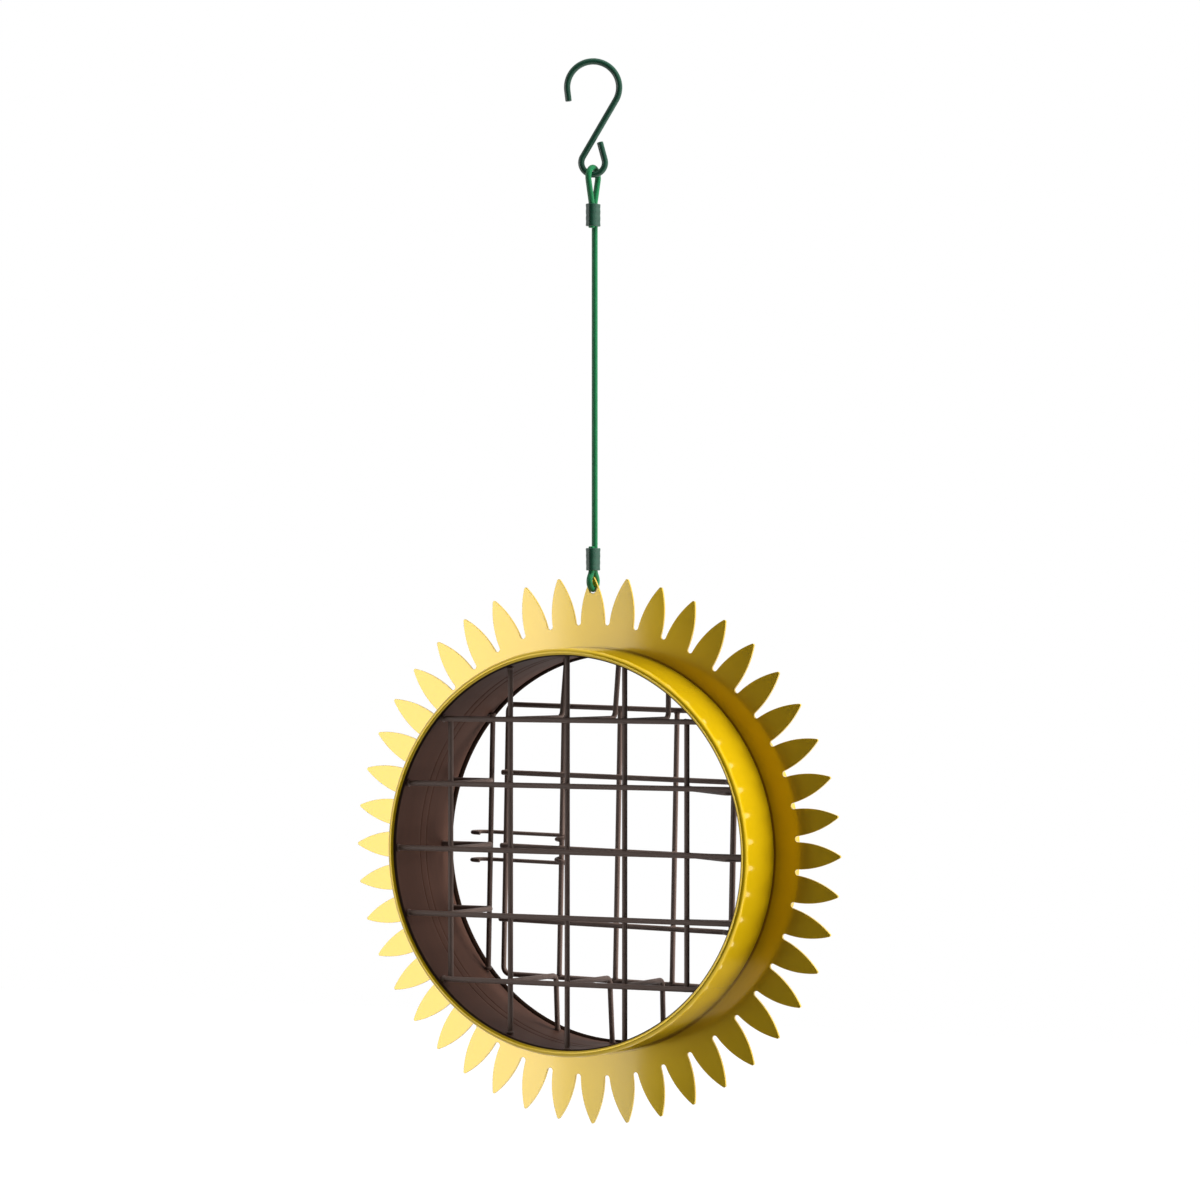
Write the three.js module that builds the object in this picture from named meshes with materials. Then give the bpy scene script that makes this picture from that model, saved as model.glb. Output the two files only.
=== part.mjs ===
// A hanging suet feeder shaped like a sunflower.
//
// A flat ring of petals is pushed over a short open drum.  Inside the drum a cage of crossed
// wires holds a cake of suet, and a wire door at the back swings on a post to let the cake in.
// A coated cable with a loop at each end hangs the petal ring from an S-shaped hook.
//
// Millimetres.  +Z is up, the front of the feeder faces -Y and +X is to the right.  The origin
// is where the hook rests on its branch: the highest point inside the hook's upper bow.

import * as THREE from 'three';

// shared fits
const fitGap = 0.3;
const cageWire = 2.5;
const wireRadius = cageWire / 2;
const layer = cageWire + fitGap;

// S-hook
const hookWire = 3.0;
const bowRadius = 12.1;
const eyeRadius = 5.5;
const hookPitch = 35.0;
const lipRun = 5.1;
const tailRun = 8.5;
const lipTurn = THREE.MathUtils.degToRad(7);
const tailTurn = THREE.MathUtils.degToRad(15);
const hookYaw = THREE.MathUtils.degToRad(28);

// hanger cable and its crimped sleeves
const cableWire = 2.8;
const cableRadius = cableWire / 2;
const hangerLength = 196.0;
const strandPitch = cableWire + fitGap;
const upperLoopRadius = 4.7;
const lowerLoopRadius = 3.65;
const upperNeck = 15.5;
const lowerNeck = 7.3;
const neckBend = 3.2;
const deadEnd = 0.8;
const sleeveLength = 10.4;
const sleeveWall = 1.0;
const sleeveRound = 0.3;
const sleeveChords = 8;
const boreChords = 6;

// petal ring
const petalCount = 44;
const sheet = 1.3;
const ringWidth = 10.7;
const petalLength = 22.5;
const slotRadius = 1.35;
const petalTipRound = 0.8;
const cableHole = 3.6;
const holeWeb = 1.57;
const sideChords = 5;
const tipChords = 2;
const slotChords = 4;
const holeChords = 12;

// drum
const doorClearance = 1.71;
const shellWall = 1.0;
const beadRadius = 1.8;
const frontDepth = 29.1;
const rimLap = 1.85;
const linerWall = 1.2;

// front grid and the ties that carry it
const rowPitch = 30.4;
const columnPitch = 30.0;
const sideColumn = 62.0;
const cageOffset = 2.5;
const gridInset = 5.7;
const cageDepth = 39.5;
const tieBend = 3.0;

// Most ties lean to one side.  These are the distances of each from its column or row, where it
// turns and where it meets the wall.
const upperTieTurns = [5.7, 3.9, 2.1];
const upperTieEnds = [8.0, 6.3, 2.2];
const lowerTieTurns = [2.5, 1.2, -1.0];
const lowerTieEnds = [3.3, 2.6, -0.5];
const rightTieTurns = [-3.5, -3.8, -2.7];
const rightTieEnds = [-2.5, -2.8, -1.7];

// door
const rearLean = THREE.MathUtils.degToRad(1.2);
const doorLap = 3.3;
const doorRise = 1.3;
const doorRowPitch = 34.8;
const doorRowDrop = 3.0;
const freeCorner = 3.5;
const freeCornerChords = 4;
const hingeCorner = 16.0;
const hingeCornerChords = 6;
const hingeReach = 1.8;
const hingeHookSweep = THREE.MathUtils.degToRad(210);
const jogChords = 3;
const seatChords = 9;

// latch
const latchWire = 1.85;
const latchRadius = latchWire / 2;
const latchPostReach = 6.8;
const armHalfSpan = 6.55;
const armDrop = 0.65;
const curlRadius = 6.1;
const curlReach = 2.5;
const curlLip = 0.6;
const wrapPitch = 2.6;
const wrapCorner = 1.3;
const wrapEnd = THREE.MathUtils.degToRad(331);
const wrapChords = 12;
const curlChords = 8;

// faceting
const ringChords = 64;
const wireChords = 10;
const thinChords = 8;
const beadChords = 10;
const bendChords = 4;
const bowChords = 16;
const eyeChords = 14;
const loopChords = 14;
const neckChords = 3;
const cableStep = 8.4;

// sizes that follow from the cage
const doorHalfWidth = sideColumn - hingeReach;
const doorHeight = 4 * rowPitch + 2 * doorLap;
const doorCornerReach = freeCorner + wireRadius
  + Math.hypot(doorHalfWidth - freeCorner, doorHeight / 2 + doorRise - freeCorner);
const drumRadius = doorCornerReach + doorClearance + 2 * beadRadius;
const rowY = -frontDepth + gridInset;
const columnY = rowY + layer;
const tieY = columnY + cageDepth;
const postY = tieY + layer;
const doorY = postY + layer;
const rearDepth = doorY + wireRadius + rimLap;

// paints
const yellowPaint = new THREE.MeshStandardMaterial({ color: 0xdcb000, roughness: 0.3, metalness: 0.1 });
const brownPaint = new THREE.MeshStandardMaterial({ color: 0x5c4a42, roughness: 0.45, metalness: 0.1 });
const greenCoat = new THREE.MeshStandardMaterial({ color: 0x237846, roughness: 0.5, metalness: 0.0 });
const darkGreenPaint = new THREE.MeshStandardMaterial({ color: 0x1c3f2c, roughness: 0.35, metalness: 0.3 });

// bent wire
// A path through a list of points: straight between them, and turning at each.
class BentPath extends THREE.Curve {
  constructor(points, closed = false) {
    super();
    this.points = points;
    this.closed = closed;
    this.runs = closed ? points.length : points.length - 1;
  }

  corner(index) {
    const count = this.points.length;
    return this.points[this.closed ? (index + count) % count : index];
  }

  getPoint(t, target = new THREE.Vector3()) {
    const place = t * this.runs;
    const start = Math.min(Math.floor(place), this.runs - 1);
    return target.lerpVectors(this.corner(start), this.corner(start + 1), place - start);
  }

  // The tangent at a corner halves the angle between the runs that meet there.
  getTangent(t, target = new THREE.Vector3()) {
    const index = Math.round(t * this.runs);
    target.set(0, 0, 0);
    if (this.closed || index > 0) {
      target.add(this.corner(index).clone().sub(this.corner(index - 1)).normalize());
    }
    if (this.closed || index < this.runs) {
      target.add(this.corner(index + 1).clone().sub(this.corner(index)).normalize());
    }
    return target.normalize();
  }

  getUtoTmapping(u) {
    return u;
  }
}

// Points of an arc in the plane of two unit vectors, both ends included.
function arc(centre, radius, from, sweep, chords, across, along) {
  const points = [];
  for (let i = 0; i <= chords; i += 1) {
    const angle = from + (sweep * i) / chords;
    points.push(centre.clone()
      .addScaledVector(across, radius * Math.cos(angle))
      .addScaledVector(along, radius * Math.sin(angle)));
  }
  return points;
}

// The corner between two runs, turned at a bend radius.
function bend(before, corner, after, radius, chords) {
  const incoming = corner.clone().sub(before).normalize();
  const outgoing = after.clone().sub(corner).normalize();
  const turn = incoming.angleTo(outgoing);
  const inward = outgoing.clone().addScaledVector(incoming, -incoming.dot(outgoing)).normalize();
  const start = corner.clone().addScaledVector(incoming, -radius * Math.tan(turn / 2));
  const centre = start.clone().addScaledVector(inward, radius);
  return arc(centre, radius, -Math.PI / 2, turn, chords, incoming, inward);
}

// A straight run cut into equal steps no longer than the one given, without its two ends.
function stepsBetween(start, end, step) {
  const count = Math.ceil(start.distanceTo(end) / step);
  const points = [];
  for (let i = 1; i < count; i += 1) {
    points.push(start.clone().lerp(end, i / count));
  }
  return points;
}

function roundSection(radius, sides) {
  const corners = [];
  for (let i = 0; i < sides; i += 1) {
    const angle = (2 * Math.PI * i) / sides;
    corners.push(new THREE.Vector2(radius * Math.cos(angle), radius * Math.sin(angle)));
  }
  return new THREE.Shape(corners);
}

function bentWire(points, radius, sides) {
  const path = new BentPath(points);
  return new THREE.ExtrudeGeometry(roundSection(radius, sides), {
    steps: path.runs,
    extrudePath: path,
    bevelEnabled: false,
  });
}

function straightWire(length, radius, direction) {
  const geometry = new THREE.CylinderGeometry(radius, radius, length, wireChords);
  if (direction === 'x') {
    geometry.rotateZ(Math.PI / 2);
  }
  if (direction === 'z') {
    geometry.rotateX(Math.PI / 2);
  }
  return geometry;
}

function place(parent, name, geometry, material, x = 0, y = 0, z = 0) {
  const mesh = new THREE.Mesh(geometry, material);
  mesh.name = name;
  mesh.position.set(x, y, z);
  parent.add(mesh);
  return mesh;
}

const xAxis = new THREE.Vector3(1, 0, 0);
const yAxis = new THREE.Vector3(0, 1, 0);
const zAxis = new THREE.Vector3(0, 0, 1);

const feederAssembly = new THREE.Group();

// S-hook
// Two arcs that turn opposite ways, joined by their crossing tangent.
const bowCentreZ = -(bowRadius - hookWire / 2);
const eyeCentreZ = bowCentreZ - hookPitch;
const shankTurn = Math.asin((bowRadius + eyeRadius) / hookPitch);

function hookGeometry() {
  const bowCentre = new THREE.Vector3(0, 0, bowCentreZ);
  const eyeCentre = new THREE.Vector3(0, 0, eyeCentreZ);
  const bow = arc(bowCentre, bowRadius, Math.PI + lipTurn,
    -(Math.PI + lipTurn + shankTurn), bowChords, xAxis, zAxis);
  const eye = arc(eyeCentre, eyeRadius, Math.PI - shankTurn,
    Math.PI + shankTurn + tailTurn, eyeChords, xAxis, zAxis);
  const lipEnd = bow[0].clone()
    .addScaledVector(xAxis, lipRun * Math.sin(lipTurn))
    .addScaledVector(zAxis, -lipRun * Math.cos(lipTurn));
  const tailEnd = eye[eye.length - 1].clone()
    .addScaledVector(xAxis, -tailRun * Math.sin(tailTurn))
    .addScaledVector(zAxis, tailRun * Math.cos(tailTurn));
  return bentWire([lipEnd, ...bow, ...eye, tailEnd], hookWire / 2, wireChords);
}

const hook = place(feederAssembly, 's_hook', hookGeometry(), darkGreenPaint);
hook.rotation.z = hookYaw;

// hanger cable
// One length of cable.  Its upper loop lies over the hook's eye, its lower loop passes
// through the top petal, and each end is crimped beside the standing strand.
const eyeSeatZ = eyeCentreZ - eyeRadius + hookWire / 2;
const cableTopZ = eyeSeatZ + cableRadius + fitGap;
const cableBottomZ = cableTopZ - hangerLength;
const upperSleeveTopZ = cableTopZ - upperNeck - cableRadius;
const lowerSleeveBottomZ = cableBottomZ + lowerNeck + cableRadius;

// The loop's centre, the corner where a strand leaves the sleeve, and the angle of the straight
// run between the two.  up is 1 for the upper loop and -1 for the lower.
function loopRuns(centreZ, loopRadius, neckZ) {
  const reach = Math.abs(centreZ - neckZ);
  const half = strandPitch / 2;
  const lean = Math.asin(loopRadius / Math.hypot(half, reach)) - Math.atan2(half, reach);
  return { reach, half, lean };
}

function loopPoints(centreZ, loopRadius, neckZ, up) {
  const { half, lean } = loopRuns(centreZ, loopRadius, neckZ);
  const centre = new THREE.Vector3(0, 0, centreZ);
  const turned = up * (Math.PI + 2 * lean);
  const round = arc(centre, loopRadius, Math.PI + up * lean, -turned, loopChords, yAxis, zAxis);
  const frontNeck = new THREE.Vector3(0, -half, neckZ);
  const rearNeck = new THREE.Vector3(0, half, neckZ);
  const sleeveSide = new THREE.Vector3(0, 0, -up * loopRadius);
  return [
    ...bend(frontNeck.clone().add(sleeveSide), frontNeck, round[0], neckBend, neckChords),
    ...round,
    ...bend(round[round.length - 1], rearNeck, rearNeck.clone().add(sleeveSide), neckBend, neckChords),
  ];
}

function cableGeometry() {
  const half = strandPitch / 2;
  const upper = loopPoints(cableTopZ - upperLoopRadius, upperLoopRadius,
    upperSleeveTopZ + cableRadius / 2, 1);
  const lower = loopPoints(cableBottomZ + lowerLoopRadius, lowerLoopRadius,
    lowerSleeveBottomZ - cableRadius / 2, -1).reverse();
  const upperEnd = new THREE.Vector3(0, -half, upperSleeveTopZ - sleeveLength - deadEnd);
  const lowerEnd = new THREE.Vector3(0, -half, lowerSleeveBottomZ + sleeveLength + deadEnd);
  return bentWire([
    upperEnd,
    ...stepsBetween(upperEnd, upper[0], cableStep),
    ...upper,
    ...stepsBetween(upper[upper.length - 1], lower[0], cableStep),
    ...lower,
    ...stepsBetween(lower[lower.length - 1], lowerEnd, cableStep),
    lowerEnd,
  ], cableRadius, thinChords);
}

place(feederAssembly, 'hanger_cable', cableGeometry(), greenCoat);

// An oblong with round ends, long along Y.
function oblong(target, halfPitch, radius, chords) {
  const corners = [];
  for (let end = 0; end < 2; end += 1) {
    for (let i = 0; i <= chords; i += 1) {
      const angle = Math.PI * (end + i / chords);
      const shift = end === 0 ? halfPitch : -halfPitch;
      corners.push(new THREE.Vector2(radius * Math.cos(angle), shift + radius * Math.sin(angle)));
    }
  }
  target.setFromPoints(corners);
  return target;
}

function sleeveGeometry() {
  const boreRadius = cableRadius + fitGap;
  const outline = oblong(new THREE.Shape(), strandPitch / 2, boreRadius + sleeveWall, sleeveChords);
  outline.holes.push(oblong(new THREE.Path(), strandPitch / 2, boreRadius, boreChords));
  const geometry = new THREE.ExtrudeGeometry(outline, {
    depth: sleeveLength - 2 * sleeveRound,
    bevelThickness: sleeveRound,
    bevelSize: sleeveRound,
    bevelOffset: -sleeveRound,
    bevelSegments: 1,
  });
  geometry.translate(0, 0, sleeveRound);
  return geometry;
}

place(feederAssembly, 'upper_ferrule', sleeveGeometry(), darkGreenPaint,
  0, 0, upperSleeveTopZ - sleeveLength);
place(feederAssembly, 'lower_ferrule', sleeveGeometry(), darkGreenPaint,
  0, 0, lowerSleeveBottomZ);

// petal ring
// Each petal is a pointed arch: two arcs that leave the ring along the petal's own axis and
// meet under a small round tip.  Round-bottomed slots part the petals.
const halfAngle = Math.PI / petalCount;
const slotCentre = drumRadius + ringWidth + slotRadius;
const tipRadius = drumRadius + ringWidth + petalLength;
const rootHalfWidth = slotCentre * Math.sin(halfAngle) - slotRadius;
const rootRadius = slotCentre * Math.cos(halfAngle);
const tipCentre = tipRadius - petalTipRound - rootRadius;
const sideRadius = (rootHalfWidth ** 2 + tipCentre ** 2 - petalTipRound ** 2)
  / (2 * (rootHalfWidth - petalTipRound));
const sideSweep = Math.atan2(tipCentre, sideRadius - rootHalfWidth);

// The cable's hole stands where the petal has narrowed to the hole and a web on each side.
const holeHalfWidth = cableHole / 2 + holeWeb;
const holeRadiusFromCentre = rootRadius
  + Math.sqrt(sideRadius ** 2 - (sideRadius - rootHalfWidth + holeHalfWidth) ** 2);
const ringCentreZ = cableBottomZ + cableRadius + fitGap - cableHole / 2 - holeRadiusFromCentre;

const feeder = new THREE.Group();
feeder.position.set(0, 0, ringCentreZ);
feederAssembly.add(feeder);

function petalRingShape() {
  const outline = [];
  const flat = (x, y, radius, from, sweep, chords) => {
    for (let i = 0; i < chords; i += 1) {
      const angle = from + (sweep * i) / chords;
      outline.push(new THREE.Vector2(x + radius * Math.cos(angle), y + radius * Math.sin(angle)));
    }
  };
  for (let petal = 0; petal < petalCount; petal += 1) {
    const axis = Math.PI / 2 + 2 * halfAngle * petal;
    const along = [Math.cos(axis), Math.sin(axis)];
    const across = [Math.sin(axis), -Math.cos(axis)];
    const at = (side, out) => [
      across[0] * side + along[0] * out,
      across[1] * side + along[1] * out,
    ];
    const tipTurn = Math.PI / 2 - sideSweep;
    flat(...at(rootHalfWidth - sideRadius, rootRadius), sideRadius,
      axis - Math.PI / 2, sideSweep, sideChords);
    flat(...at(0, rootRadius + tipCentre), petalTipRound, axis - tipTurn, 2 * tipTurn, tipChords);
    flat(...at(sideRadius - rootHalfWidth, rootRadius), sideRadius,
      axis + tipTurn, sideSweep, sideChords);
    const slotAxis = axis + halfAngle;
    flat(slotCentre * Math.cos(slotAxis), slotCentre * Math.sin(slotAxis), slotRadius,
      axis - Math.PI / 2, -(Math.PI - 2 * halfAngle), slotChords);
  }
  return new THREE.Shape(outline);
}

function petalRingGeometry() {
  const shape = petalRingShape();
  const circle = (y, radius, chords) => {
    const corners = [];
    for (let i = 0; i < chords; i += 1) {
      const angle = (2 * Math.PI * i) / chords;
      corners.push(new THREE.Vector2(radius * Math.cos(angle), y + radius * Math.sin(angle)));
    }
    return new THREE.Path(corners);
  };
  shape.holes.push(circle(0, drumRadius + fitGap, ringChords));
  shape.holes.push(circle(holeRadiusFromCentre, cableHole / 2, holeChords));
  const geometry = new THREE.ExtrudeGeometry(shape, { depth: sheet, bevelEnabled: false });
  geometry.translate(0, 0, -sheet / 2);
  geometry.rotateX(Math.PI / 2);
  return geometry;
}

place(feeder, 'petal_plate', petalRingGeometry(), yellowPaint);

// drum
// A short open cylinder of sheet whose edges are rolled inward round a wire.
const shellInner = drumRadius - shellWall;
const linerOuter = shellInner - fitGap;
const linerInner = linerOuter - linerWall;

function shellGeometry() {
  const beadCentre = drumRadius - beadRadius;
  const meet = Math.acos((shellInner - beadCentre) / beadRadius);
  const roll = 2 * Math.PI - meet;
  const profile = [];
  for (let i = 0; i <= beadChords; i += 1) {
    const angle = meet + (roll * i) / beadChords;
    profile.push(new THREE.Vector2(beadCentre + beadRadius * Math.cos(angle),
      -frontDepth + beadRadius + beadRadius * Math.sin(angle)));
  }
  for (let i = 0; i <= beadChords; i += 1) {
    const angle = (roll * i) / beadChords;
    profile.push(new THREE.Vector2(beadCentre + beadRadius * Math.cos(angle),
      rearDepth - beadRadius + beadRadius * Math.sin(angle)));
  }
  profile.push(profile[0].clone());
  return new THREE.LatheGeometry(profile, ringChords);
}

place(feeder, 'drum_shell', shellGeometry(), yellowPaint);

function linerGeometry() {
  const front = -frontDepth + 2 * beadRadius + fitGap;
  const rear = rearDepth - 2 * beadRadius - fitGap;
  const profile = [
    new THREE.Vector2(linerInner, front),
    new THREE.Vector2(linerOuter, front),
    new THREE.Vector2(linerOuter, rear),
    new THREE.Vector2(linerInner, rear),
    new THREE.Vector2(linerInner, front),
  ];
  return new THREE.LatheGeometry(profile, ringChords);
}

place(feeder, 'drum_liner', linerGeometry(), brownPaint);

// front grid
const wallRadius = linerInner * Math.cos(Math.PI / ringChords) - fitGap;

// How far a wire that lies off the drum's axis by this much can run before it meets the wall.
function wallReach(offset) {
  return Math.sqrt(wallRadius ** 2 - (Math.abs(offset) + wireRadius) ** 2);
}

const rowHeights = [2, 1, 0, -1, -2].map((step) => step * rowPitch);
const columnPlaces = [-sideColumn, -columnPitch, 0, columnPitch, sideColumn]
  .map((side) => side - cageOffset);

rowHeights.forEach((z, index) => {
  place(feeder, `front_row_${index + 1}`, straightWire(2 * wallReach(z), wireRadius, 'x'),
    brownPaint, 0, rowY, z);
});

columnPlaces.forEach((x, index) => {
  const outer = index === 0 || index === columnPlaces.length - 1;
  const toRows = rowHeights[0] + wireRadius;
  const half = outer ? Math.min(toRows, wallReach(x)) : wallReach(x);
  place(feeder, `front_column_${index + 1}`, straightWire(2 * half, wireRadius, 'z'),
    brownPaint, x, columnY, 0);
});

// A tie runs back from a front wire, turns outward and ends at the drum's wall.
function tieGeometry(x, z, outward, turnShift = 0, endShift = 0) {
  const sideways = outward.x !== 0;
  const across = sideways ? zAxis : xAxis;
  const offset = (sideways ? z : x) + endShift;
  const reach = wallReach(offset);
  const start = new THREE.Vector3(x, columnY + wireRadius + fitGap, z);
  const corner = new THREE.Vector3(x, tieY, z).addScaledVector(across, turnShift);
  const end = sideways
    ? new THREE.Vector3(outward.x * reach, tieY, offset)
    : new THREE.Vector3(offset, tieY, outward.z * reach);
  return bentWire([start, ...bend(start, corner, end, tieBend, bendChords), end], wireRadius, thinChords);
}

for (let i = 1; i <= 3; i += 1) {
  const columnX = columnPlaces[i];
  const rowZ = rowHeights[i];
  place(feeder, `tie_top_${i}`, tieGeometry(columnX, rowHeights[0], zAxis,
    upperTieTurns[i - 1], upperTieEnds[i - 1]), brownPaint);
  place(feeder, `tie_bottom_${i}`, tieGeometry(columnX, rowHeights[4], zAxis.clone().negate(),
    lowerTieTurns[i - 1], lowerTieEnds[i - 1]), brownPaint);
  place(feeder, `tie_left_${i}`,
    tieGeometry(columnPlaces[0], rowZ, xAxis.clone().negate()), brownPaint);
  place(feeder, `tie_right_${i}`, tieGeometry(columnPlaces[4], rowZ, xAxis,
    rightTieTurns[i - 1], rightTieEnds[i - 1]), brownPaint);
}

// Two posts stand behind the side ties: the door hangs on one and latches on the other.  Posts
// and door lean a little to the right at the top.
const rear = new THREE.Group();
rear.rotation.y = rearLean;
feeder.add(rear);

const hingeX = doorHalfWidth + hingeReach;
const latchPostX = -(doorHalfWidth + latchPostReach);
place(rear, 'hinge_post', straightWire(2 * wallReach(hingeX), wireRadius, 'z'), brownPaint,
  hingeX, postY, 0);
place(rear, 'latch_post', straightWire(2 * wallReach(latchPostX), wireRadius, 'z'), brownPaint,
  latchPostX, postY, 0);

// door
const door = new THREE.Group();
door.position.set(0, doorY, doorRise);
rear.add(door);

function doorFrameGeometry() {
  const halfHeight = doorHeight / 2;
  const corners = [
    [-doorHalfWidth, halfHeight, freeCorner, freeCornerChords],
    [doorHalfWidth, halfHeight, hingeCorner, hingeCornerChords],
    [doorHalfWidth, -halfHeight, hingeCorner, hingeCornerChords],
    [-doorHalfWidth, -halfHeight, freeCorner, freeCornerChords],
  ];
  const at = (index) => {
    const [x, z] = corners[(index + corners.length) % corners.length];
    return new THREE.Vector3(x, 0, z);
  };
  const points = corners.flatMap(([, , radius, chords], index) => (
    bend(at(index - 1), at(index), at(index + 1), radius, chords)));
  const path = new BentPath(points, true);
  return new THREE.TubeGeometry(path, path.runs, wireRadius, wireChords, true);
}

place(door, 'door_frame', doorFrameGeometry(), brownPaint);

for (let i = 1; i <= 3; i += 1) {
  const length = doorHeight - 2 * (wireRadius + fitGap);
  place(door, `door_column_${i}`, straightWire(length, wireRadius, 'z'), brownPaint,
    (i - 2) * columnPitch, 0, 0);
}

// The outer two rows go on past the frame and hook round the hinge post.
const hookSeat = cageWire + fitGap;
const jogTurn = Math.acos(1 - layer / (2 * hookSeat));

function doorRowPoints(hooked) {
  const start = new THREE.Vector3(-(doorHalfWidth + wireRadius), 0, 0);
  if (!hooked) {
    return [start, new THREE.Vector3(hingeX - wireRadius - fitGap, 0, 0)];
  }
  const jogX = hingeX - 2 * hookSeat * Math.sin(jogTurn);
  const jogCentre = new THREE.Vector3(jogX, -hookSeat, 0);
  const postCentre = new THREE.Vector3(hingeX, 0, 0);
  const jog = arc(jogCentre, hookSeat, Math.PI / 2, -jogTurn, jogChords, xAxis, yAxis);
  const wrapStart = Math.PI + Math.PI / 2 - jogTurn;
  const wrap = arc(postCentre, hookSeat, wrapStart, hingeHookSweep, seatChords, xAxis, yAxis);
  return [start, ...jog, ...wrap.slice(1)];
}

for (let i = 1; i <= 3; i += 1) {
  place(door, `door_row_${i}`, bentWire(doorRowPoints(i !== 2), wireRadius, wireChords), brownPaint,
    0, -layer, (2 - i) * doorRowPitch - doorRowDrop);
}

// latch
// One length of thin wire.  Its middle wraps twice round the first door column, and its two
// arms reach past the door and curl round the latch post.
const wrapRadius = wireRadius + latchRadius + fitGap;

function latchPoints() {
  const postFromColumn = columnPitch + latchPostX;
  const curlX = postFromColumn - curlReach;
  const curlCentre = new THREE.Vector3(curlX, wrapRadius - curlRadius, armHalfSpan);
  const lip = new THREE.Vector3(curlX + curlLip, wrapRadius - 2 * curlRadius, armHalfSpan);
  const curl = arc(curlCentre, curlRadius, -Math.PI / 2, -Math.PI, curlChords, xAxis, yAxis);
  const slope = wrapPitch / (2 * Math.PI * wrapRadius);
  const wrapLength = wrapEnd * wrapRadius;
  const unrolled = new THREE.Vector3(wrapLength, 0, armHalfSpan - slope * wrapLength);
  const start = new THREE.Vector3(0, 0, armHalfSpan);
  const middle = new THREE.Vector3(wrapLength, 0, 0);
  const corner = bend(start, unrolled, middle, wrapCorner, neckChords);
  const turns = stepsBetween(start, corner[0], wrapLength / wrapChords);
  const wound = [start, ...turns, ...corner].map(({ x: run, z }) => {
    const angle = Math.PI / 2 - run / wrapRadius;
    return new THREE.Vector3(wrapRadius * Math.cos(angle), wrapRadius * Math.sin(angle), z);
  });
  const upper = [lip, ...curl, ...wound];
  const lower = upper.map((point) => new THREE.Vector3(point.x, point.y, -point.z)).reverse();
  return [...upper, ...lower];
}

place(door, 'latch_clip', bentWire(latchPoints(), latchRadius, thinChords), brownPaint,
  -columnPitch, 0, -doorRowDrop - armDrop);

export default feederAssembly;
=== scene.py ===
# %% [markdown]
# # A sunflower suet feeder in paint, wire and cable
#
# This lesson dresses a measured model of a hanging bird feeder for its portrait.  The model
# gives every place and size, so nothing here is fitted by eye: each piece is built again as a
# finer surface where the measured one stands, and then gets its paint.  The feeder is a flat
# ring of yellow petals pushed over a short drum, with a brown wire cage inside and a green
# cable above.

# %% Load the measured model
import math

import bmesh
import bpy
import numpy as np
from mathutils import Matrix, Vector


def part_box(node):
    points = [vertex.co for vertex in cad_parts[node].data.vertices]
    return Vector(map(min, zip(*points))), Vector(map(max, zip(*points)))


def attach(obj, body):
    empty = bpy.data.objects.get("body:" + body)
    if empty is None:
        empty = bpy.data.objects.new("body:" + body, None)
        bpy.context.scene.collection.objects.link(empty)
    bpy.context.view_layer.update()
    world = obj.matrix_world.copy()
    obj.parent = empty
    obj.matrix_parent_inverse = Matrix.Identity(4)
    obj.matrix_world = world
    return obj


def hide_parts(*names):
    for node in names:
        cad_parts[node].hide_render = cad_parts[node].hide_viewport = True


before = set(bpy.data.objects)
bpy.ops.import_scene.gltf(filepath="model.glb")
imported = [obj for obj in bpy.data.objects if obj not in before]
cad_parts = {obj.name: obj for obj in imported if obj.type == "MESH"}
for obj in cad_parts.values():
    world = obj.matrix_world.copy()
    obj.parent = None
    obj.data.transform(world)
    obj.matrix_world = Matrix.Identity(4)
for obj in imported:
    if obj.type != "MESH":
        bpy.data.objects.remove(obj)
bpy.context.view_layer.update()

scene = bpy.context.scene
MM = 0.001

# %% [markdown]
# ## The camera
#
# The feeder was photographed from a little to its right with a long lens, level with the middle
# of the cable.  A camera could be aimed with a Track To constraint, but plain numbers are
# easier to check: a turn about the upright axis, a distance, and a focal length.

# %% Camera
camera_turn = math.radians(28.16)
camera_right, camera_up, camera_away = 3.2, 116.2, 2179.0
focal_length, sensor_width = 140.6, 36.0
across_x, across_y, across_z = np.eye(3)
to_right = np.array([math.cos(camera_turn), math.sin(camera_turn), 0.0])
to_camera = np.array([math.sin(camera_turn), -math.cos(camera_turn), 0.0])
ring_low, ring_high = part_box("petal_plate")
ring_centre = np.array([0.0, 0.0, (ring_low[2] + ring_high[2]) / 2 / MM])

camera_data = bpy.data.cameras.new("camera")
camera_data.sensor_width = sensor_width
camera_data.lens = focal_length
camera = bpy.data.objects.new("camera", camera_data)
camera.location = (ring_centre + camera_right * to_right + camera_up * across_z
                   + camera_away * to_camera) * MM
camera.rotation_euler = (math.pi / 2, 0.0, camera_turn)
scene.collection.objects.link(camera)
scene.camera = camera
print("camera at", [round(v, 4) for v in camera.location])

# %% [markdown]
# ## Surfaces from arrays
#
# Every piece below is a grid of points: rows run along the piece and columns run round it.
# Working the whole grid out at once as an array is quick, and keeps the shape in one formula.
# A grid that closes on itself repeats its first row or column, and the doubles are merged
# afterwards, which also closes the poles.

# %% From grids to a piece
same_place = 1e-7


def grid_faces(rows, columns):
    """Corner numbers of a grid's cells.  Cell (i, j) joins the points (i, j), (i+1, j),
    (i+1, j+1) and (i, j+1), and point (i, j) has the number i * columns + j."""
    i, j = np.meshgrid(np.arange(rows - 1), np.arange(columns - 1), indexing="ij")
    first = i * columns + j
    return np.stack([first, first + columns, first + columns + 1, first + 1], -1).reshape(-1, 4)


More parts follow.
